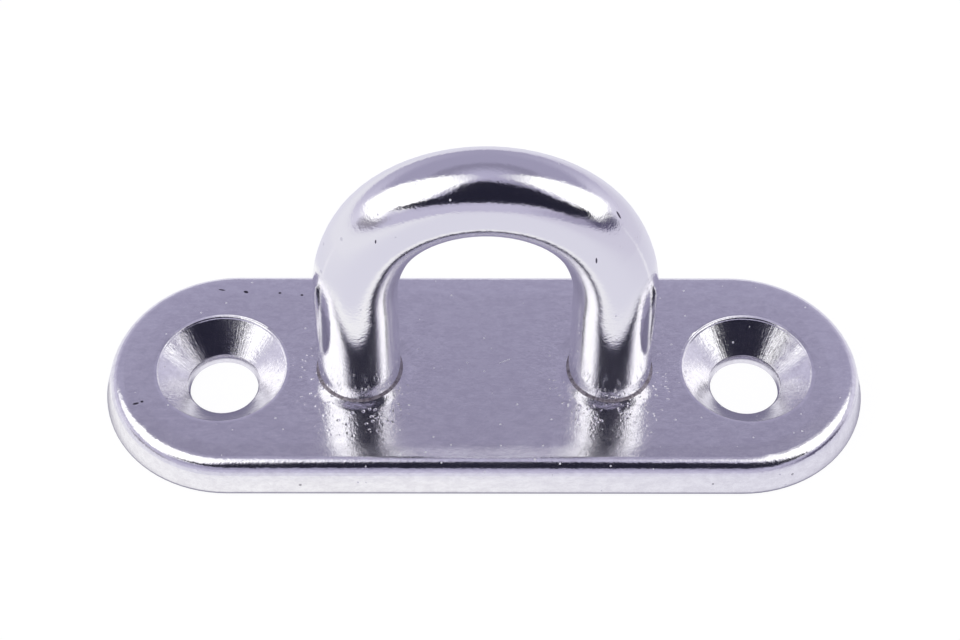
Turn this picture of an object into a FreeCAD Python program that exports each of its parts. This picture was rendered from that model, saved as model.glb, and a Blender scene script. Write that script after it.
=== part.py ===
import FreeCAD, Part

# Eye strap for a deck: a thin stainless plate with rounded ends and two countersunk screw holes, and a
# bow bent from round bar. The bow's legs pass through the plate, and a plug weld under each leg holds it.
#
# The origin is the middle of the plate's underside, which lies on the deck. X runs along the plate and
# through both screw holes, Y across it and along the eye's opening, and Z up out of the deck.

import math
import os

import Sketcher

SIZES = {
    # Plate, blanked from strip and tumbled. Its side leans in towards the top, and its upper edge is
    # much rounder than its lower one.
    "plate_length": 46.5,
    "plate_width": 15.8,
    "plate_thickness": 2.3,
    "side_angle": 14.0,
    "top_edge_radius": 0.95,
    "bottom_edge_radius": 0.3,
    # Countersunk holes for two 4 mm (No. 8) screws. They stand midway between the legs and the plate's
    # ends, and a little further out. The cone leaves a short plain hole below it, the land, and comes
    # out at about 95 degrees, a little wider than the 90 degrees of the screws' heads.
    "screw_set_out": 1.15,
    "screw_hole_diameter": 4.2,
    "countersink_diameter": 8.1,
    "countersink_land": 0.5,
    "countersink_rim_radius": 0.3,
    "countersink_throat_radius": 0.45,
    # Bow, measured on the bar's centre line apart from the overall height.
    "bar_diameter": 5.0,
    "leg_spacing": 15.2,
    "overall_height": 21.0,
    "shoulder_radius": 11.0,
    "shoulder_angle": 25.0,
    # Joint between the legs and the plate.
    "leg_clearance": 0.05,
    "hole_edge_break": 0.08,
    "weld_bevel": 0.9,
    "leg_end_recess": 0.4,
}

SCREW_SPACING = "((Sizes.plate_length + Sizes.leg_spacing) / 2 + Sizes.screw_set_out)"
LEG_HOLE = "(Sizes.bar_diameter + 2 * Sizes.leg_clearance)"
CONE_SLOPE = ("atan((Sizes.countersink_diameter - Sizes.screw_hole_diameter) / 2"
              " / (Sizes.plate_thickness - Sizes.countersink_land))")

NEAR = 1e-4
START, END, CENTRE = range(1, 4)
H_AXIS, V_AXIS = range(-1, -3, -1)
ORIGIN_POINT = H_AXIS

doc = FreeCAD.newDocument("EyeStrap")


def size_sheet():
    sheet = doc.addObject("Spreadsheet::Sheet", "Sizes")
    for row, (name, size) in enumerate(SIZES.items(), start=1):
        sheet.set(f"A{row}", name.replace("_", " "))
        sheet.set(f"B{row}", str(size))
        sheet.setAlias(f"B{row}", name)
    doc.recompute()
    return sheet


sheet = size_sheet()


def value(expression):
    return float(sheet.evalExpression(expression))


def new_body(label):
    body = doc.addObject("PartDesign::Body", label)
    body.Label = label
    return body


def sketch_on(body, role, name, **offsets):
    """A flat outline on one of the piece's own main planes, moved off it by expressions."""
    plane = next(item for item in body.Origin.OriginFeatures if item.Role == role)
    sketch = body.newObject("Sketcher::SketchObject", name)
    sketch.AttachmentSupport = [(plane, "")]
    sketch.MapMode = "FlatFace"
    for axis, expression in offsets.items():
        sketch.setExpression(f".AttachmentOffset.Base.{axis}", expression)
    return sketch


def constrain(sketch, *constraints):
    for constraint in constraints:
        sketch.addConstraint(Sketcher.Constraint(*constraint))


def dimension(sketch, name, expression, kind, *where):
    """A dimension of the outline that follows an expression of the sizes."""
    start = value(expression)
    number = sketch.addConstraint(
        Sketcher.Constraint(kind, *where, math.radians(start) if kind == "Angle" else start))
    sketch.renameConstraint(number, name)
    sketch.setExpression(f"Constraints.{name}", f"{expression} * 1 deg" if kind == "Angle" else expression)


def feature(body, kind, name, profile=None, **expressions):
    made = body.newObject(f"PartDesign::{kind}", name)
    if profile is not None:
        made.Profile = profile
    for prop, expression in expressions.items():
        made.setExpression(prop, expression)
    return made


def edges_at(shape, height, diameter=None):
    """Names of the level edges at a height: all of them, or only the whole circles of one diameter."""
    names = []
    for number, edge in enumerate(shape.Edges, start=1):
        box = edge.BoundBox
        level = abs(box.ZMin - height) < NEAR and abs(box.ZMax - height) < NEAR
        whole_circle = edge.isClosed() and isinstance(edge.Curve, Part.Circle)
        if level and (diameter is None or (whole_circle and abs(2 * edge.Curve.Radius - diameter) < NEAR)):
            names.append(f"Edge{number}")
    return names


def dress(body, kind, name, edges, **expressions):
    """A fillet or chamfer on edges of the piece as it stands."""
    base = body.Tip
    made = feature(body, kind, name, **expressions)
    made.Base = (base, edges)
    doc.recompute()
    return made


def cut_through(body, cut):
    """Checks that a hole really took material from the piece."""
    before = cut.BaseFeature.Shape.Volume
    doc.recompute()
    if not cut.Shape.Volume < before - NEAR:
        raise RuntimeError(f"{cut.Label} cuts nothing")
    body.Tip = cut


def draw_obround(sketch, length, width):
    """A slot outline with full half-circle ends, centred on the origin along X."""
    radius, half = value(width) / 2, (value(length) - value(width)) / 2
    up, quarter = FreeCAD.Vector(0, 0, 1), math.pi / 2
    right, left = FreeCAD.Vector(half, 0, 0), FreeCAD.Vector(-half, 0, 0)
    rise = FreeCAD.Vector(0, radius, 0)
    east = sketch.addGeometry(Part.ArcOfCircle(Part.Circle(right, up, radius), -quarter, quarter))
    west = sketch.addGeometry(Part.ArcOfCircle(Part.Circle(left, up, radius), quarter, 3 * quarter))
    north = sketch.addGeometry(Part.LineSegment(right + rise, left + rise))
    south = sketch.addGeometry(Part.LineSegment(left - rise, right - rise))
    constrain(
        sketch,
        ("Tangent", east, END, north, START),
        ("Tangent", north, END, west, START),
        ("Tangent", west, END, south, START),
        ("Tangent", south, END, east, START),
        ("Equal", east, west),
        ("Horizontal", north),
        ("Symmetric", east, CENTRE, west, CENTRE, ORIGIN_POINT, START),
    )
    dimension(sketch, "end_radius", f"{width} / 2", "Radius", east)
    dimension(sketch, "end_spacing", f"{length} - {width}", "DistanceX", west, CENTRE, east, CENTRE)


def draw_hole_pair(sketch, spacing, diameter):
    """Two equal circles on the plate's centre line, either side of its middle."""
    half, radius, up = value(spacing) / 2, value(diameter) / 2, FreeCAD.Vector(0, 0, 1)
    left, right = (sketch.addGeometry(Part.Circle(FreeCAD.Vector(x, 0, 0), up, radius))
                   for x in (-half, half))
    constrain(
        sketch,
        ("Equal", left, right),
        ("PointOnObject", right, CENTRE, H_AXIS),
        ("Symmetric", left, CENTRE, right, CENTRE, ORIGIN_POINT, START),
    )
    dimension(sketch, "diameter", diameter, "Diameter", left)
    dimension(sketch, "spacing", spacing, "DistanceX", left, CENTRE, right, CENTRE)


def draw_circle_at(sketch, reach, diameter):
    """A circle on the plate's centre line, to the left of its middle."""
    centre = FreeCAD.Vector(-value(reach), 0, 0)
    bar = sketch.addGeometry(Part.Circle(centre, FreeCAD.Vector(0, 0, 1), value(diameter) / 2))
    constrain(sketch, ("PointOnObject", bar, CENTRE, H_AXIS))
    dimension(sketch, "diameter", diameter, "Diameter", bar)
    dimension(sketch, "reach", reach, "DistanceX", bar, CENTRE, ORIGIN_POINT, START)


def draw_bow_line(sketch, foot, apex, spacing, shoulder_radius, shoulder_angle):
    """The bar's centre line: a straight leg, a wide shoulder arc, a tighter crown arc, and back down.

    The legs begin to lean inwards below the crown, so the eye is a little taller than a half circle.
    """
    foot_z, apex_z, half = value(foot), value(apex), value(spacing) / 2
    shoulder_r, turn = value(shoulder_radius), math.radians(value(shoulder_angle))
    reach = shoulder_r - half
    crown_r = shoulder_r - reach / math.cos(turn)
    crown_z = apex_z - crown_r
    shoulder_z = crown_z - reach * math.tan(turn)

    def arc(x, z, radius, start, end):
        circle = Part.Circle(FreeCAD.Vector(x, z, 0), FreeCAD.Vector(0, 0, 1), radius)
        return sketch.addGeometry(Part.ArcOfCircle(circle, start, end))

    def leg(x, start_z, end_z):
        start, end = FreeCAD.Vector(x, start_z, 0), FreeCAD.Vector(x, end_z, 0)
        return sketch.addGeometry(Part.LineSegment(start, end))

    left_leg = leg(-half, foot_z, shoulder_z)
    left_shoulder = arc(reach, shoulder_z, shoulder_r, math.pi - turn, math.pi)
    crown = arc(0, crown_z, crown_r, turn, math.pi - turn)
    right_shoulder = arc(-reach, shoulder_z, shoulder_r, 0, turn)
    right_leg = leg(half, shoulder_z, foot_z)
    top = sketch.addGeometry(Part.Point(FreeCAD.Vector(0, apex_z, 0)), True)
    constrain(
        sketch,
        ("Vertical", left_leg),
        ("Vertical", right_leg),
        ("Tangent", left_leg, END, left_shoulder, END),
        ("Tangent", left_shoulder, START, crown, END),
        ("Tangent", crown, START, right_shoulder, END),
        ("Tangent", right_shoulder, START, right_leg, START),
        ("Equal", left_shoulder, right_shoulder),
        ("PointOnObject", crown, CENTRE, V_AXIS),
        ("PointOnObject", top, START, V_AXIS),
        ("PointOnObject", top, START, crown),
        ("Symmetric", left_leg, START, right_leg, END, V_AXIS),
    )
    dimension(sketch, "foot", foot, "DistanceY", ORIGIN_POINT, START, left_leg, START)
    dimension(sketch, "apex", apex, "DistanceY", ORIGIN_POINT, START, top, START)
    dimension(sketch, "spacing", spacing, "DistanceX", left_leg, START, right_leg, END)
    dimension(sketch, "shoulder_radius", shoulder_radius, "Radius", left_shoulder)
    dimension(sketch, "shoulder_angle", shoulder_angle, "Angle", left_shoulder)


def build_base_plate():
    body = new_body("base_plate")
    thickness = value("Sizes.plate_thickness")

    outline = sketch_on(body, "XY_Plane", "plate_outline")
    draw_obround(outline, "Sizes.plate_length", "Sizes.plate_width")
    feature(body, "Pad", "plate_blank", outline,
            Length="Sizes.plate_thickness", TaperAngle="-Sizes.side_angle * 1 deg")
    doc.recompute()

    # Each edge radius is limited by the plate's thickness, so that both always fit its wall.
    dress(body, "Fillet", "top_edge", edges_at(body.Shape, thickness),
          Radius="min(Sizes.top_edge_radius; 0.65 * Sizes.plate_thickness)")
    dress(body, "Fillet", "bottom_edge", edges_at(body.Shape, 0.0),
          Radius="min(Sizes.bottom_edge_radius; 0.2 * Sizes.plate_thickness)")

    screws = sketch_on(body, "XY_Plane", "screw_centres", z="Sizes.plate_thickness")
    draw_hole_pair(screws, SCREW_SPACING, "Sizes.screw_hole_diameter")
    doc.recompute()
    holes = feature(body, "Hole", "screw_holes", screws)
    holes.Threaded = False
    holes.ThreadType = "None"
    holes.DepthType = "ThroughAll"
    holes.HoleCutType = "Countersink"
    holes.setExpression("Diameter", "Sizes.screw_hole_diameter")
    holes.setExpression("HoleCutDiameter", "Sizes.countersink_diameter")
    holes.setExpression("HoleCutCountersinkAngle", f"2 * {CONE_SLOPE}")
    cut_through(body, holes)

    # Polishing rolls the countersink's rim over and rounds its throat into the land. The throat's radius
    # is limited by the land's height.
    land = "Sizes.countersink_land"
    dress(body, "Fillet", "countersink_rims",
          edges_at(body.Shape, thickness, value("Sizes.countersink_diameter")),
          Radius="Sizes.countersink_rim_radius")
    dress(body, "Fillet", "countersink_throats",
          edges_at(body.Shape, value(land), value("Sizes.screw_hole_diameter")),
          Radius=f"min(Sizes.countersink_throat_radius; 0.7 * {land} / tan({CONE_SLOPE} / 2))")

    legs = sketch_on(body, "XY_Plane", "leg_holes")
    draw_hole_pair(legs, "Sizes.leg_spacing", LEG_HOLE)
    pocket = feature(body, "Pocket", "leg_pockets", legs)
    pocket.Type = "ThroughAll"
    pocket.Reversed = True
    cut_through(body, pocket)

    leg_hole = value(LEG_HOLE)
    dress(body, "Chamfer", "weld_bevels", edges_at(body.Shape, 0.0, leg_hole), Size="Sizes.weld_bevel")
    dress(body, "Chamfer", "leg_hole_rims", edges_at(body.Shape, thickness, leg_hole),
          Size="Sizes.hole_edge_break")
    return body


def build_bow():
    body = new_body("bow")
    section = sketch_on(body, "XY_Plane", "bar_section", z="Sizes.leg_end_recess")
    draw_circle_at(section, "Sizes.leg_spacing / 2", "Sizes.bar_diameter")
    line = sketch_on(body, "XZ_Plane", "bow_line")
    draw_bow_line(line, "Sizes.leg_end_recess", "Sizes.overall_height - Sizes.bar_diameter / 2",
                  "Sizes.leg_spacing", "Sizes.shoulder_radius", "Sizes.shoulder_angle")
    doc.recompute()
    bar = feature(body, "AdditivePipe", "bent_bar", section)
    bar.Spine = (line, [])
    doc.recompute()
    return body


def build_weld(label, side):
    """The weld that fills the bevel round a leg's end and the short well below it, ground flush."""
    hole_radius = "Sizes.bar_diameter / 2 + Sizes.leg_clearance"
    fill = doc.addObject("Part::Cone", f"{label}_fill")
    fill.setExpression("Radius1", f"{hole_radius} + Sizes.weld_bevel")
    fill.setExpression("Radius2", hole_radius)
    fill.setExpression("Height", "Sizes.weld_bevel")
    leg = doc.addObject("Part::Cylinder", f"{label}_leg")
    leg.setExpression("Radius", "Sizes.bar_diameter / 2")
    leg.setExpression("Height", "Sizes.plate_thickness")
    leg.setExpression(".Placement.Base.z", "Sizes.leg_end_recess")
    for shape in (fill, leg):
        shape.setExpression(".Placement.Base.x", f"{side} * Sizes.leg_spacing / 2")
    weld = doc.addObject("Part::Cut", label)
    weld.Label = label
    weld.Base, weld.Tool = fill, leg
    return weld


def require_sound(pieces):
    """Stops before anything is written if a feature failed or a piece isn't one valid solid."""
    for item in doc.Objects:
        if {"Invalid", "Error"} & set(item.State):
            raise RuntimeError(f"{item.Label} didn't build: {item.State}")
    for piece in pieces:
        shape = piece.Shape
        if shape.isNull() or not shape.isValid() or len(shape.Solids) != 1:
            raise RuntimeError(f"{piece.Label} isn't one valid solid")


pieces = [build_base_plate(), build_bow(), build_weld("weld_left", -1), build_weld("weld_right", 1)]
doc.recompute()
require_sound(pieces)

os.makedirs("parts", exist_ok=True)
for piece in pieces:
    piece.Shape.exportStep(f"parts/{piece.Label}.step")
    print(f"{piece.Label}: {piece.Shape.Volume:.1f} mm3")
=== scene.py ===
import math

import bpy
from mathutils import Matrix, Vector


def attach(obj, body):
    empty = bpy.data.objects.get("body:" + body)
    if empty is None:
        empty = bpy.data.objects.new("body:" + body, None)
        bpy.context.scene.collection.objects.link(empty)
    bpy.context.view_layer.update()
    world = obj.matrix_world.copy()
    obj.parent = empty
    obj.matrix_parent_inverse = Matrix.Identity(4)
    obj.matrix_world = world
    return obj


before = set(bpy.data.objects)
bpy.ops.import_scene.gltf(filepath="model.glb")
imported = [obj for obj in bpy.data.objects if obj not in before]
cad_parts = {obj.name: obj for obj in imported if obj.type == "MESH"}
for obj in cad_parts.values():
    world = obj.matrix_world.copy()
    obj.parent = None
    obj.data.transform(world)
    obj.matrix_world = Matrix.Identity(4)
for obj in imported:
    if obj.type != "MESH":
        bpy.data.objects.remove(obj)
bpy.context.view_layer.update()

# Base plate. An oblong blanked from 2.3 mm strip of stainless, countersunk, tumbled to round its edges
# and buffed bright. Nothing is painted or plated: what shows is how smooth each face is, so the middle
# mirrors the room and the hollows and edges are grainier.

def linear(hex_code):
    """Linear red, green, blue and alpha of an sRGB hex colour."""
    parts = [int(hex_code[i:i + 2], 16) / 255 for i in (1, 3, 5)]
    return tuple(c / 12.92 if c <= 0.04045 else ((c + 0.055) / 1.055) ** 2.4 for c in parts) + (1.0,)


def add(tree, kind, inputs=(), out=0, **settings):
    """Adds a shader node with its settings and links, and returns one of its outputs."""
    node = tree.nodes.new("ShaderNode" + kind)
    for name, setting in settings.items():
        setattr(node, name, setting)
    for socket, source in inputs.items() if isinstance(inputs, dict) else enumerate(inputs):
        if isinstance(source, bpy.types.NodeSocket):
            tree.links.new(source, node.inputs[socket])
        else:
            node.inputs[socket].default_value = source
    return node.outputs[out] if len(node.outputs) else None


def new_finish(name):
    """An empty material, its nodes, and the place on the piece in millimetres."""
    finish = bpy.data.materials.new(name)
    finish.use_nodes = True
    tree = finish.node_tree
    tree.nodes.clear()
    place = add(tree, "TexCoord", out="Object")
    return finish, tree, add(tree, "VectorMath", {0: place, "Scale": 1000.0}, operation="SCALE")


def wheel_lines(tree, mm, across):
    """Height in millimetres of the buffing wheel's lines, 0.14 to 0.2 mm apart and 2.5 to 4 mm long.

    Real ones are too fine to show in the picture, so these are drawn coarser.
    """
    stretched = add(tree, "VectorMath", [mm, across], operation="MULTIPLY")
    lines = add(tree, "TexNoise", {"Vector": stretched, "Scale": 1.0, "Detail": 3.0, "Roughness": 0.6})
    return add(tree, "Math", [lines, 0.0016], operation="MULTIPLY")


def tumbled_grain(tree, mm, depth):
    """Height in millimetres of the unevenness that tumbling leaves, 0.2 mm from bump to bump."""
    grain = add(tree, "TexNoise", {"Vector": mm, "Scale": 5.0, "Detail": 2.5, "Roughness": 0.6})
    return add(tree, "Math", [grain, depth], operation="MULTIPLY")


def specks(tree, mm, per_mm, share, radius, seed, turn=0.0, length=1.0):
    """Specks of up to a radius in millimetres: one to a cell of the pattern, in some of the cells.

    With a length they are scratches, that many times as long as wide, turned about Z.
    """
    moved = add(tree, "VectorMath", [mm, (seed, seed, seed)], operation="ADD")
    turned = add(tree, "VectorRotate", {"Vector": moved, "Angle": math.radians(turn)}, rotation_type="Z_AXIS")
    shape = add(tree, "VectorMath", [turned, (1 / length, 1.0, 1.0)], operation="MULTIPLY")
    cells = add(tree, "TexVoronoi", {"Vector": shape, "Scale": per_mm}, "Distance")
    chance = add(tree, "SeparateColor", [cells.node.outputs["Color"]])
    reach = add(tree, "MapRange", [chance, 1.0 - share, 1.0 - 0.6 * share, 0.0, radius * per_mm],
                interpolation_type="SMOOTHSTEP")
    return add(tree, "Math", [cells, reach], operation="LESS_THAN")


def ding(tree, mm, centre, half_size, turn=0.0):
    """A soft-edged mark of a given half length and half width in millimetres, turned about Z."""
    away = add(tree, "VectorMath", [mm, centre], operation="SUBTRACT")
    turned = add(tree, "VectorRotate", {"Vector": away, "Angle": math.radians(turn)}, rotation_type="Z_AXIS")
    across = (1 / half_size[0], 1 / half_size[1], 4.0)
    shape = add(tree, "VectorMath", [turned, across], operation="MULTIPLY")
    far = add(tree, "VectorMath", [shape], "Value", operation="LENGTH")
    return add(tree, "MapRange", [far, 1.15, 0.75], interpolation_type="SMOOTHSTEP")


def from_middle_line(tree, place):
    """Distance from the plate's middle line. The plate's outline lies 7.9 mm from that line."""
    line_end = 15.35
    side_x = add(tree, "Math", [place["X"]], operation="ABSOLUTE")
    past_end = add(tree, "Math", [side_x, line_end], operation="SUBTRACT")
    past_end = add(tree, "Math", [past_end, 0.0], operation="MAXIMUM")
    across = add(tree, "CombineXYZ", [past_end, place["Y"]])
    return add(tree, "VectorMath", [across], "Value", operation="LENGTH")


plate_steel, tree, mm = new_finish("buffed_plate_steel")
place = add(tree, "SeparateXYZ", [mm]).node.outputs
face_up = add(tree, "SeparateXYZ", [add(tree, "TexCoord", out="Normal")], "Z")
side_x = add(tree, "Math", [place["X"]], operation="ABSOLUTE")

# Distances from the axes of the leg and of the screw hole on this side, and from the middle line.
leg_x, screw_x = 7.6, 16.0
away = [add(tree, "CombineXYZ", [add(tree, "Math", [side_x, x], operation="SUBTRACT"), place["Y"]])
        for x in (leg_x, screw_x)]
from_leg, from_screw = [add(tree, "VectorMath", [flat], "Value", operation="LENGTH") for flat in away]
from_line = from_middle_line(tree, place)

# Where the finish changes: in the countersinks, on the sides, on the underside and round the legs.
inside_rim = add(tree, "MapRange", [from_screw, 4.15, 3.95], interpolation_type="SMOOTHSTEP")
under_top = add(tree, "MapRange", [place["Z"], 2.29, 2.22], interpolation_type="SMOOTHSTEP")
in_cone = add(tree, "Math", [inside_rim, under_top], operation="MULTIPLY")
flatness = add(tree, "Math", [face_up], operation="ABSOLUTE")
on_side = add(tree, "MapRange", [flatness, 0.62, 0.45], interpolation_type="SMOOTHSTEP")
below = add(tree, "MapRange", [face_up, -0.6, -0.8], interpolation_type="SMOOTHSTEP")
by_leg = add(tree, "MapRange", [from_leg, 6.2, 3.0], interpolation_type="SMOOTHSTEP")

# The plate sinks 0.13 mm towards each leg over the last millimetre. It is too shallow to change the
# outline, so it only turns the reflections.
height = add(tree, "MapRange", [from_leg, 3.4, 2.45, 0.0, -0.13], interpolation_type="SMOOTHSTEP")

# The flat's last 1.4 mm before the rounded edge is eased by 0.055 mm, and by up to 0.12 mm at the
# right end, where the reflections roll off most. It is as shallow, so it only turns the reflections.
ease_depth = add(tree, "MapRange", [place["X"], 15, 21, -0.055, -0.12], interpolation_type="SMOOTHSTEP")
eased = add(tree, "MapRange", [from_line, 5.6, 6.95], interpolation_type="SMOOTHSTEP")
height = add(tree, "Math", [eased, ease_depth, height], operation="MULTIPLY_ADD")

# A crisp ring 0.1 mm wide and 0.012 mm high, 3.95 mm from the axis, just inside each countersink's rim.
ring = add(tree, "Math", [from_screw, 3.95], operation="SUBTRACT")
ring = add(tree, "Math", [ring], operation="ABSOLUTE")
ring = add(tree, "MapRange", [ring, 0.02, 0.09, 0.012, 0.0], interpolation_type="SMOOTHSTEP")
height = add(tree, "Math", [height, ring], operation="ADD")

# The middle is the smoothest: the grain is 0.006 mm deep there, 0.011 mm round the edge, on the
# sides and in the countersinks, and 0.018 mm by the legs.
on_edge = add(tree, "MapRange", [from_line, 6.5, 6.9], interpolation_type="SMOOTHSTEP")
depth = add(tree, "Math", [on_edge, 0.005, 0.006], operation="MULTIPLY_ADD")
for mask, more in ((in_cone, 0.005), (by_leg, 0.012)):
    depth = add(tree, "Math", [mask, more, depth], operation="MULTIPLY_ADD")

# The steel by the legs is pitted, one pit to 0.4 mm, each up to 0.25 mm across and 0.024 mm deep.
pores = add(tree, "TexVoronoi", {"Vector": mm, "Scale": 2.6}, "Distance")
pores = add(tree, "MapRange", [pores, 0.1, 0.32, -0.024, 0.0], interpolation_type="SMOOTHSTEP")
pores = add(tree, "Math", [pores, by_leg], operation="MULTIPLY")

# Chatter lines run down the cones, 0.085 mm apart half way down and 0.01 mm deep.
around = add(tree, "VectorMath", [away[1]], operation="NORMALIZE")
spokes = add(tree, "VectorMath", {0: around, "Scale": 36.0}, operation="SCALE")
down = add(tree, "CombineXYZ", {2: place["Z"]})
spokes = add(tree, "VectorMath", [spokes, down], operation="ADD")
chatter = add(tree, "TexNoise", {"Vector": spokes, "Scale": 1.0, "Detail": 2.0, "Roughness": 0.6})
chatter_depth = add(tree, "Math", [in_cone, 0.01], operation="MULTIPLY")
chatter = add(tree, "Math", [chatter, chatter_depth], operation="MULTIPLY")
for layer in (wheel_lines(tree, mm, (0.25, 7.0, 7.0)), tumbled_grain(tree, mm, depth), pores, chatter):
    height = add(tree, "Math", [height, layer], operation="ADD")
bump = add(tree, "Bump", {"Height": height, "Distance": 0.001})

# Dark marks of 0.1 to 0.4 mm, as dings and open pits look. They are colour and roughness only.
dings = specks(tree, mm, 0.3, 0.3, 0.07, 21.0)
for centre, half_size, turn in (
    ((-14.87, 5.88, 2.3), (0.16, 0.1), 20),
    ((-12.75, 5.8, 2.3), (0.1, 0.07), 0),
    ((-11.37, 5.64, 2.3), (0.1, 0.07), 0),
    ((-16.38, 6.04, 2.3), (0.22, 0.05), 10),
    ((-20.98, -2.75, 2.3), (0.2, 0.08), -15),
    ((-20.62, -2.6, 2.3), (0.1, 0.08), 0),
):
    dings = add(tree, "Math", [dings, ding(tree, mm, centre, half_size, turn)], operation="MAXIMUM")

# Scuffs of up to 0.18 mm on the sides, at half a ding's darkness.
scuffs = add(tree, "Math", [specks(tree, mm, 1.3, 0.3, 0.09, 14.0), on_side], operation="MULTIPLY")
dings = add(tree, "Math", [scuffs, 0.5, dings], operation="MULTIPLY_ADD", use_clamp=True)

# White dust of up to 0.14 mm, and pale scratches of up to 0.9 by 0.1 mm, lying two ways.
dust = specks(tree, mm, 2.0, 0.22, 0.07, 3.0)
for turn, seed in ((-25, 5.0), (50, 11.0)):
    dust = add(tree, "Math", [dust, specks(tree, mm, 1.1, 0.16, 0.05, seed, turn, 9.0)], operation="MAXIMUM")

# Buffed steel has a roughness of 0.15 to 0.2, with a haze in patches 3 mm wide. The cones and the rounded
# edge are glossier, and the sides and the underside, which was left as tumbled, are duller.
haze = add(tree, "TexNoise", {"Vector": mm, "Scale": 0.35, "Detail": 3.0})
roughness = add(tree, "MapRange", [haze, 0.3, 0.7, 0.15, 0.2], interpolation_type="SMOOTHSTEP")
for mask, more in ((in_cone, -0.03), (on_edge, -0.04), (on_side, 0.08), (below, 0.18), (dings, 0.3)):
    roughness = add(tree, "Math", [mask, more, roughness], operation="MULTIPLY_ADD")

# The bare steel, mottled in patches 0.7 mm long and 0.4 mm wide where compound was wiped off unevenly,
# with the dings and white dust.
wiped = add(tree, "VectorMath", [mm, (1.4, 2.4, 2.4)], operation="MULTIPLY")
wiped = add(tree, "TexNoise", {"Vector": wiped, "Scale": 1.0, "Detail": 4.0, "Roughness": 0.75})
wiped = add(tree, "MapRange", [wiped, 0.3, 0.7], interpolation_type="SMOOTHSTEP")
colour = linear("#E8E6EB")
for mask, tone in ((wiped, "#F5F4F7"), (dings, "#4C4854"), (dust, "#F4F4F6")):
    colour = add(tree, "Mix", {0: mask, 6: colour, 7: linear(tone)}, 2, data_type="RGBA")
metallic = add(tree, "Math", [1.0, dust], operation="SUBTRACT")
steel = add(tree, "BsdfPrincipled", {"Base Color": colour, "Metallic": metallic, "Roughness": roughness,
                                     "Normal": bump})
add(tree, "OutputMaterial", [steel])
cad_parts["base_plate"].material_slots[0].material = plate_steel

# Bow. One length of the same stainless in 5 mm round bar, bent cold to an arch and buffed round the bar
# before it was stood in the plate, so its reflections run unbroken from leg to leg.

# Buffed a little brighter than the plate, to a roughness of 0.1, with a few dark marks of 0.1 to 0.6 mm,
# fainter smudges of compound up to 0.24 mm across, and white dust of up to 0.14 mm.
bow_steel, tree, mm = new_finish("buffed_bar_steel")
dings = specks(tree, mm, 0.3, 0.3, 0.06, 33.0)
for centre, half_size, turn in (
    ((7.35, -0.8, 17.45), (0.32, 0.08), 35),
    ((6.14, -2.49, 15.52), (0.07, 0.035), 20),
    ((-6.14, -2.26, 16.86), (0.05, 0.045), 0),
):
    dings = add(tree, "Math", [dings, ding(tree, mm, centre, half_size, turn)], operation="MAXIMUM")
smudge = specks(tree, mm, 0.9, 0.3, 0.12, 17.0)
dust = specks(tree, mm, 2.0, 0.06, 0.07, 9.0)
height = add(tree, "Math", [wheel_lines(tree, mm, (5.0, 5.0, 0.4)), tumbled_grain(tree, mm, 0.008)],
             operation="ADD")
bump = add(tree, "Bump", {"Height": height, "Distance": 0.001})
colour = linear("#EFEEF1")
for mask, tone in ((smudge, "#DCDAE1"), (dings, "#5C5865"), (dust, "#F4F4F6")):
    colour = add(tree, "Mix", {0: mask, 6: colour, 7: linear(tone)}, 2, data_type="RGBA")
metallic = add(tree, "Math", [1.0, dust], operation="SUBTRACT")
roughness = add(tree, "Math", [dings, 0.3, 0.1], operation="MULTIPLY_ADD")
steel = add(tree, "BsdfPrincipled", {"Base Color": colour, "Metallic": metallic, "Roughness": roughness,
                                     "Normal": bump})
add(tree, "OutputMaterial", [steel])
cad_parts["bow"].material_slots[0].material = bow_steel

# Plug welds. Filler melted into the bevel round each leg from below and ground flush on a belt, so the
# underside shows two discs with parallel grinding lines, 0.1 mm apart, that are duller than the plate
# and a little straw-coloured in patches 2 mm wide.

weld_steel, tree, mm = new_finish("ground_weld_metal")
stretched = add(tree, "VectorMath", [mm, (0.4, 9.0, 1.0)], operation="MULTIPLY")
lines = add(tree, "TexNoise", {"Vector": stretched, "Scale": 1.0, "Detail": 4.0, "Roughness": 0.7})
height = add(tree, "Math", [lines, 0.006], operation="MULTIPLY")
bump = add(tree, "Bump", {"Height": height, "Distance": 0.001})
heat = add(tree, "TexNoise", {"Vector": mm, "Scale": 0.45, "Detail": 2.0})
straw = add(tree, "MapRange", [heat, 0.4, 0.65], interpolation_type="SMOOTHSTEP")
colour = add(tree, "Mix", {0: straw, 6: linear("#CFCBC4"), 7: linear("#BDB3A2")}, 2, data_type="RGBA")
steel = add(tree, "BsdfPrincipled", {"Base Color": colour, "Metallic": 1.0, "Roughness": 0.34,
                                     "Normal": bump})
add(tree, "OutputMaterial", [steel])
for label in ("weld_left", "weld_right"):
    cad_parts[label].material_slots[0].material = weld_steel

# Seams. The weld drew up the close fit round each leg, and a hairline of it was polished off with the
# plate. It closes the mouth of the fit as a ring 0.12 mm wide, duller and browner than the bare steel,
# with a grain of 0.17 mm.

seam_steel, tree, mm = new_finish("polished_weld_hairline")
grain = add(tree, "TexNoise", {"Vector": mm, "Scale": 6.0, "Detail": 3.0})
brown = add(tree, "MapRange", [grain, 0.35, 0.65], interpolation_type="SMOOTHSTEP")
colour = add(tree, "Mix", {0: brown, 6: linear("#B8B1B7"), 7: linear("#857D83")}, 2, data_type="RGBA")
height = add(tree, "Math", [grain, 0.01], operation="MULTIPLY")
bump = add(tree, "Bump", {"Height": height, "Distance": 0.001})
steel = add(tree, "BsdfPrincipled", {"Base Color": colour, "Metallic": 0.5, "Roughness": 0.45,
                                     "Normal": bump})
add(tree, "OutputMaterial", [steel])

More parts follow.
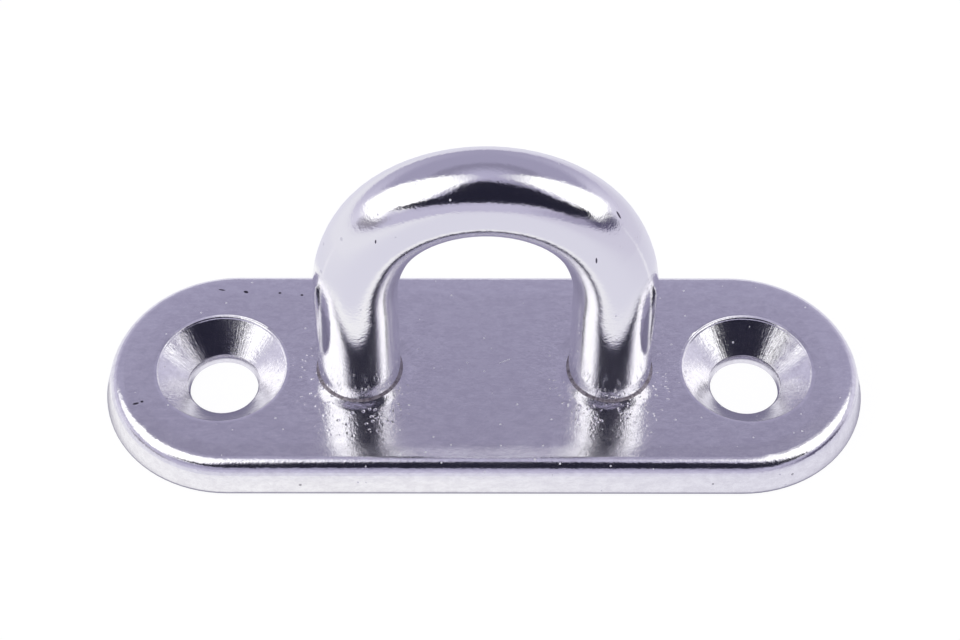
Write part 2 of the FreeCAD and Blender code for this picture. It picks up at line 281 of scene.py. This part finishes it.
# The ring's section, as distances in millimetres from the leg's axis and heights above the deck.
section = ((2.495, 2.335), (2.535, 2.3), (2.58, 2.29), (2.622, 2.296), (2.56, 2.235), (2.495, 2.235))
steps = 96
for label, seam_x in (("seam_left", -leg_x), ("seam_right", leg_x)):
    points, faces = [], []
    for step in range(steps):
        turn = 2 * math.pi * step / steps
        for radius, rise in section:
            x, y = seam_x + radius * math.cos(turn), radius * math.sin(turn)
            points.append((x / 1000, y / 1000, rise / 1000))
        for corner in range(len(section)):
            here, after = step * len(section), (step + 1) % steps * len(section)
            along = (corner + 1) % len(section)
            faces.append((here + corner, here + along, after + along, after + corner))
    ring = bpy.data.meshes.new(label)
    ring.from_pydata(points, [], faces)
    ring.shade_smooth()
    ring.materials.append(seam_steel)
    seam = bpy.data.objects.new(label, ring)
    bpy.context.scene.collection.objects.link(seam)
    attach(seam, "root")

# White board that the strap stands on. To the camera it is plain white with the strap's faint shadow. In
# the steel it shows in tones that were fitted to the steel's reflections, painted light and shade: brightest
# close to the strap and on the left, and greyer towards the room.

reach = 0.6
board_mesh = bpy.data.meshes.new("white_board")
board_mesh.from_pydata([(-reach, -reach, 0), (reach, -reach, 0), (reach, reach, 0), (-reach, reach, 0)], [],
                       [(0, 1, 2, 3)])
board = bpy.data.objects.new("white_board", board_mesh)
board.location.z = -0.00003  # just clear of the plate's underside
bpy.context.scene.collection.objects.link(board)

# To the camera 88% of it is its own even white, so only a faint shadow stays. To the steel 90% of it is the
# tones below, painted light and shade: greyer from 60 to 450 mm away, and from 10 to 60 mm paler to the left
# and greyer to the right.
board_white, tree, mm = new_finish("matt_white_board")
lit = add(tree, "BsdfDiffuse", [linear("#F6F6FA")])
white = add(tree, "Emission", {"Strength": 1.07})
shown = add(tree, "MixShader", [0.88, lit, white])
far = add(tree, "VectorMath", [mm], "Value", operation="LENGTH")
along = add(tree, "SeparateXYZ", [mm], "X")
painted_room_shade = add(tree, "MapRange", [far, 60, 450], interpolation_type="SMOOTHSTEP")
painted_light_left = add(tree, "MapRange", [along, -60, -10, 0.6, 0.0], interpolation_type="SMOOTHSTEP")
painted_shade_right = add(tree, "MapRange", [along, 10, 60, 0.0, 0.7], interpolation_type="SMOOTHSTEP")

# A painted pool of light makes it white within 3 mm of the plate, but less so towards the right end, and a
# painted shadow of the plate makes it dim, fading out 0.8 mm past the edge. A band 0.2 to 3.4 mm behind the
# middle line is painted light, and shows in the back half of each screw hole.
place = add(tree, "SeparateXYZ", [mm]).node.outputs
from_line = from_middle_line(tree, place)
around = add(tree, "MapRange", [from_line, 11.6, 9.9], interpolation_type="SMOOTHSTEP")
near_side = add(tree, "MapRange", [along, 24, -10, 0.2, 1.0], interpolation_type="SMOOTHSTEP")
painted_light_by_plate = add(tree, "Math", [around, near_side], operation="MULTIPLY")
painted_plate_shadow = add(tree, "MapRange", [from_line, 8.7, 7.7], interpolation_type="SMOOTHSTEP")
painted_light_band = add(tree, "MapRange", [place["Y"], 0.2, 1.4], interpolation_type="SMOOTHSTEP")
past_hole = add(tree, "MapRange", [place["Y"], 2.4, 3.4, 1.0, 0.0], interpolation_type="SMOOTHSTEP")
painted_light_band = add(tree, "Math", [painted_light_band, past_hole], operation="MULTIPLY")
# The painted light and shade laid over the board's tone, which only the steel sees.
colour = linear("#E3E2EE")
for mask, tone in ((painted_room_shade, "#C6C2D7"), (painted_light_left, "#F4F4F8"), (painted_shade_right, "#D0CCDE"), (painted_light_by_plate, "#FFFFFF"),
                   (painted_plate_shadow, "#726E88"), (painted_light_band, "#F2F1F8")):
    colour = add(tree, "Mix", {0: mask, 6: colour, 7: linear(tone)}, 2, data_type="RGBA")
# To the steel the board glows in these painted tones, at 1.06 times their colour.
painted_glow_mirrored = add(tree, "MixShader", [0.9, lit, add(tree, "Emission", [colour, 1.06])])
rays = add(tree, "LightPath").node.outputs
bounced = add(tree, "Math", [rays["Is Glossy Ray"], rays["Is Transmission Ray"]], operation="MAXIMUM")
surface = add(tree, "MixShader", [bounced, lit, painted_glow_mirrored])
surface = add(tree, "MixShader", [rays["Is Camera Ray"], surface, shown])
add(tree, "OutputMaterial", [surface])
board_mesh.materials.append(board_white)

# Studio. A pale room with a white soft box at each side, with edges and tones fitted to the steel's
# reflections. Directions are fixed to the strap, in degrees: azimuth 0 is the front, positive to the
# right, and elevation 0 the horizon. The world lights the board, and the steel mirrors the dome's boxes.

world = bpy.data.worlds.new("studio")
bpy.context.scene.world = world
world.use_nodes = True
tree = world.node_tree
tree.nodes.clear()


def angles(tree, direction):
    """The azimuth and elevation in degrees of a direction from the strap."""
    unit = add(tree, "VectorMath", [direction], operation="NORMALIZE")
    axes = add(tree, "SeparateXYZ", [unit]).node.outputs
    front = add(tree, "Math", [axes["Y"], -1.0], operation="MULTIPLY")
    turn = add(tree, "Math", [axes["X"], front], operation="ARCTAN2")
    rise = add(tree, "Math", [axes["Z"]], operation="ARCSINE")
    return [add(tree, "Math", [angle], operation="DEGREES") for angle in (turn, rise)]


def patch(tree, looking, left, right, low, high, lean=0.0):
    """A part of the room, 1 inside and 0 outside, given by four edges as angle and softness.

    It leans to the right by lean degrees for each degree of height above 40.
    """
    azimuth, elevation = looking
    level = add(tree, "Math", [elevation, 40.0], operation="SUBTRACT")
    upright = add(tree, "Math", [level, -lean, azimuth], operation="MULTIPLY_ADD")
    inside = None
    for angle, (edge, soft), at_start in ((upright, left, 0.0), (upright, right, 1.0), (elevation, low, 0.0),
                                          (elevation, high, 1.0)):
        side = add(tree, "MapRange", [angle, edge - soft, edge + soft, at_start, 1.0 - at_start],
                   interpolation_type="SMOOTHSTEP")
        inside = side if inside is None else add(tree, "Math", [inside, side], operation="MULTIPLY")
    return inside


def soft_boxes(tree, looking):
    """Where the two soft boxes are: each a tall part, and a part that reaches lower, to 9 degrees."""
    boxes = None
    for edges in (((-109, 4), (-41, 8), (19, 5), (76, 18), 0.15), ((61, 5), (109, 4), (16, 5), (69, 18)),
                  ((-109, 4), (-60, 8), (9, 4), (40, 8)), ((60, 8), (109, 4), (9, 4), (40, 8))):
        part = patch(tree, looking, *edges)
        boxes = part if boxes is None else add(tree, "Math", [boxes, part], operation="MAXIMUM")
    return boxes


looking = angles(tree, add(tree, "TexCoord", out="Generated"))
elevation = looking[1]
rays = add(tree, "LightPath").node.outputs
boxes = add(tree, "Math", [1.0, rays["Is Glossy Ray"]], operation="SUBTRACT")
boxes = add(tree, "Math", [boxes, soft_boxes(tree, looking)], operation="MULTIPLY")
high_wall = add(tree, "MapRange", [elevation, 50, 57], interpolation_type="SMOOTHSTEP")
overhead = add(tree, "MapRange", [elevation, 60, 85], interpolation_type="SMOOTHSTEP")
room = linear("#A6A2BC")
for mask, tone in (
    (high_wall, "#928EA6"),
    (overhead, "#BAB6D0"),
    (patch(tree, looking, (-150, 40), (150, 40), (-20, 8), (20, 8)), "#C9C5DC"),
    (patch(tree, looking, (-115, 25), (-70, 25), (-20, 8), (18, 8)), "#E0DDEE"),
    (patch(tree, looking, (78, 20), (125, 20), (-20, 8), (20, 8)), "#E0DDEE"),
    (patch(tree, looking, (22, 14), (68, 14), (-20, 4), (12, 4)), "#A8A3BC"),
    (patch(tree, looking, (50, 8), (92, 10), (0, 2), (15, 5)), "#56526C"),
    (patch(tree, looking, (-85, 8), (-50, 8), (1, 2), (10, 4)), "#96929F"),
    (boxes, "#FFFFFF"),
):
    room = add(tree, "Mix", {0: mask, 6: room, 7: linear(tone)}, 2, data_type="RGBA")

# The boxes are 1.3 times as bright as white, and the camera sees plain white instead of the room.
strength = add(tree, "Math", [boxes, 0.3, 1.0], operation="MULTIPLY_ADD")
seen = rays["Is Camera Ray"]
room = add(tree, "Mix", {0: seen, 6: room, 7: linear("#FFFFFF")}, 2, data_type="RGBA")
strength = add(tree, "Mix", {0: seen, 2: strength, 3: 1.0}, data_type="FLOAT")
add(tree, "OutputWorld", [add(tree, "Background", [room, strength])])

# Black card. It stands 75 mm from the bow's crown, in front of it and above, between the soft boxes, and
# gives the steel its dark reflections. Only those show: the camera doesn't see it, and it casts no
# shadow. It is mottled in patches of 2.5 mm.

crown = Vector((0.0, 0.0, 0.018))
card_reach = 0.075

# Its outline in degrees, sideways from the front and up from the horizon.
outline = ((-62, 19), (-46, 27), (-34, 35), (-31, 50), (-33, 62), (-24, 70), (-10, 75), (12, 75), (27, 69),
           (42, 60), (51, 52), (53, 36), (59, 27), (68, 18), (65, 11), (42, 10), (30, 17), (18, 20), (0, 21),
           (-20, 22))
points = []
middle = (8, 45)  # the point from which the outline is filled
for side, rise in (middle,) + outline:
    side, rise = math.radians(side), math.radians(rise)
    flat = math.cos(rise)
    to_point = Vector((math.sin(side) * flat, -math.cos(side) * flat, math.sin(rise)))
    points.append(crown + card_reach * to_point)
count = len(outline)
card_mesh = bpy.data.meshes.new("black_card")
card_mesh.from_pydata(points, [], [(0, 1 + i, 1 + (i + 1) % count) for i in range(count)])
card = bpy.data.objects.new("black_card", card_mesh)
card.visible_camera = card.visible_diffuse = card.visible_shadow = False
bpy.context.scene.collection.objects.link(card)
black, tree, mm = new_finish("matt_black_card")
mottle = add(tree, "TexNoise", {"Vector": mm, "Scale": 0.4, "Detail": 2.0})
colour = add(tree, "Mix", {0: mottle, 6: linear("#2C2C3C"), 7: linear("#34343F")}, 2, data_type="RGBA")
add(tree, "OutputMaterial", [add(tree, "BsdfDiffuse", [colour])])
card_mesh.materials.append(black)

# Soft boxes. Their faces lie on a dome 76 mm from the bow's crown, which shows in the steel alone and is
# clear between them. As they are near, the two countersinks mirror them in different places. They are 1.4
# times as bright as white.

dome_reach, rows, columns = 0.076, 24, 72
lowest, row_height = -12, 4  # degrees
dome_points, dome_faces = [], []
for row in range(rows + 1):
    rise = math.radians(lowest + row_height * row)
    for column in range(columns):
        side = 2 * math.pi * column / columns
        flat = dome_reach * math.cos(rise)
        dome_points.append((math.sin(side) * flat, -math.cos(side) * flat, dome_reach * math.sin(rise)))
for row in range(rows):
    for column in range(columns):
        here, after = row * columns + column, row * columns + (column + 1) % columns
        dome_faces.append((here, after, after + columns, here + columns))
dome_mesh = bpy.data.meshes.new("soft_box_dome")
dome_mesh.from_pydata(dome_points, [], dome_faces)
dome = bpy.data.objects.new("soft_box_dome", dome_mesh)
dome.location = crown
dome.visible_camera = dome.visible_diffuse = dome.visible_shadow = dome.visible_transmission = False
bpy.context.scene.collection.objects.link(dome)
glow, tree, mm = new_finish("soft_box_faces")
boxes = soft_boxes(tree, angles(tree, mm))
glowing = add(tree, "Emission", {"Strength": 1.4})
clear = add(tree, "BsdfTransparent")
add(tree, "OutputMaterial", [add(tree, "MixShader", [boxes, clear, glowing])])
glow.cycles.emission_sampling = "NONE"  # it is only mirrored, so it isn't sampled as a lamp
dome_mesh.materials.append(glow)

# Camera. It looks down at the strap from the front, 137 mm away and 52 degrees above the horizon. Its
# angles, distance and lens were fitted to the photograph.

yaw, tilt, roll = math.radians(-0.546), math.radians(51.813), math.radians(0.514)
distance, aim = 0.136791, Vector((-0.000303, 0.0, 0.00698))
back = Vector((math.sin(yaw) * math.cos(tilt), -math.cos(yaw) * math.cos(tilt), math.sin(tilt)))
level = Vector((math.cos(yaw), math.sin(yaw), 0.0))
upward = back.cross(level)
right = level * math.cos(roll) + upward * math.sin(roll)
above = upward * math.cos(roll) - level * math.sin(roll)
lens = bpy.data.cameras.new("camera")
lens.sensor_width = 36.0
lens.lens = 86.493
lens.clip_start = 0.005
camera = bpy.data.objects.new("camera", lens)
camera.matrix_world = Matrix((right, above, back)).transposed().to_4x4()
camera.location = aim + back * distance
bpy.context.scene.collection.objects.link(camera)
bpy.context.scene.camera = camera
bpy.context.scene.view_settings.view_transform = "Standard"
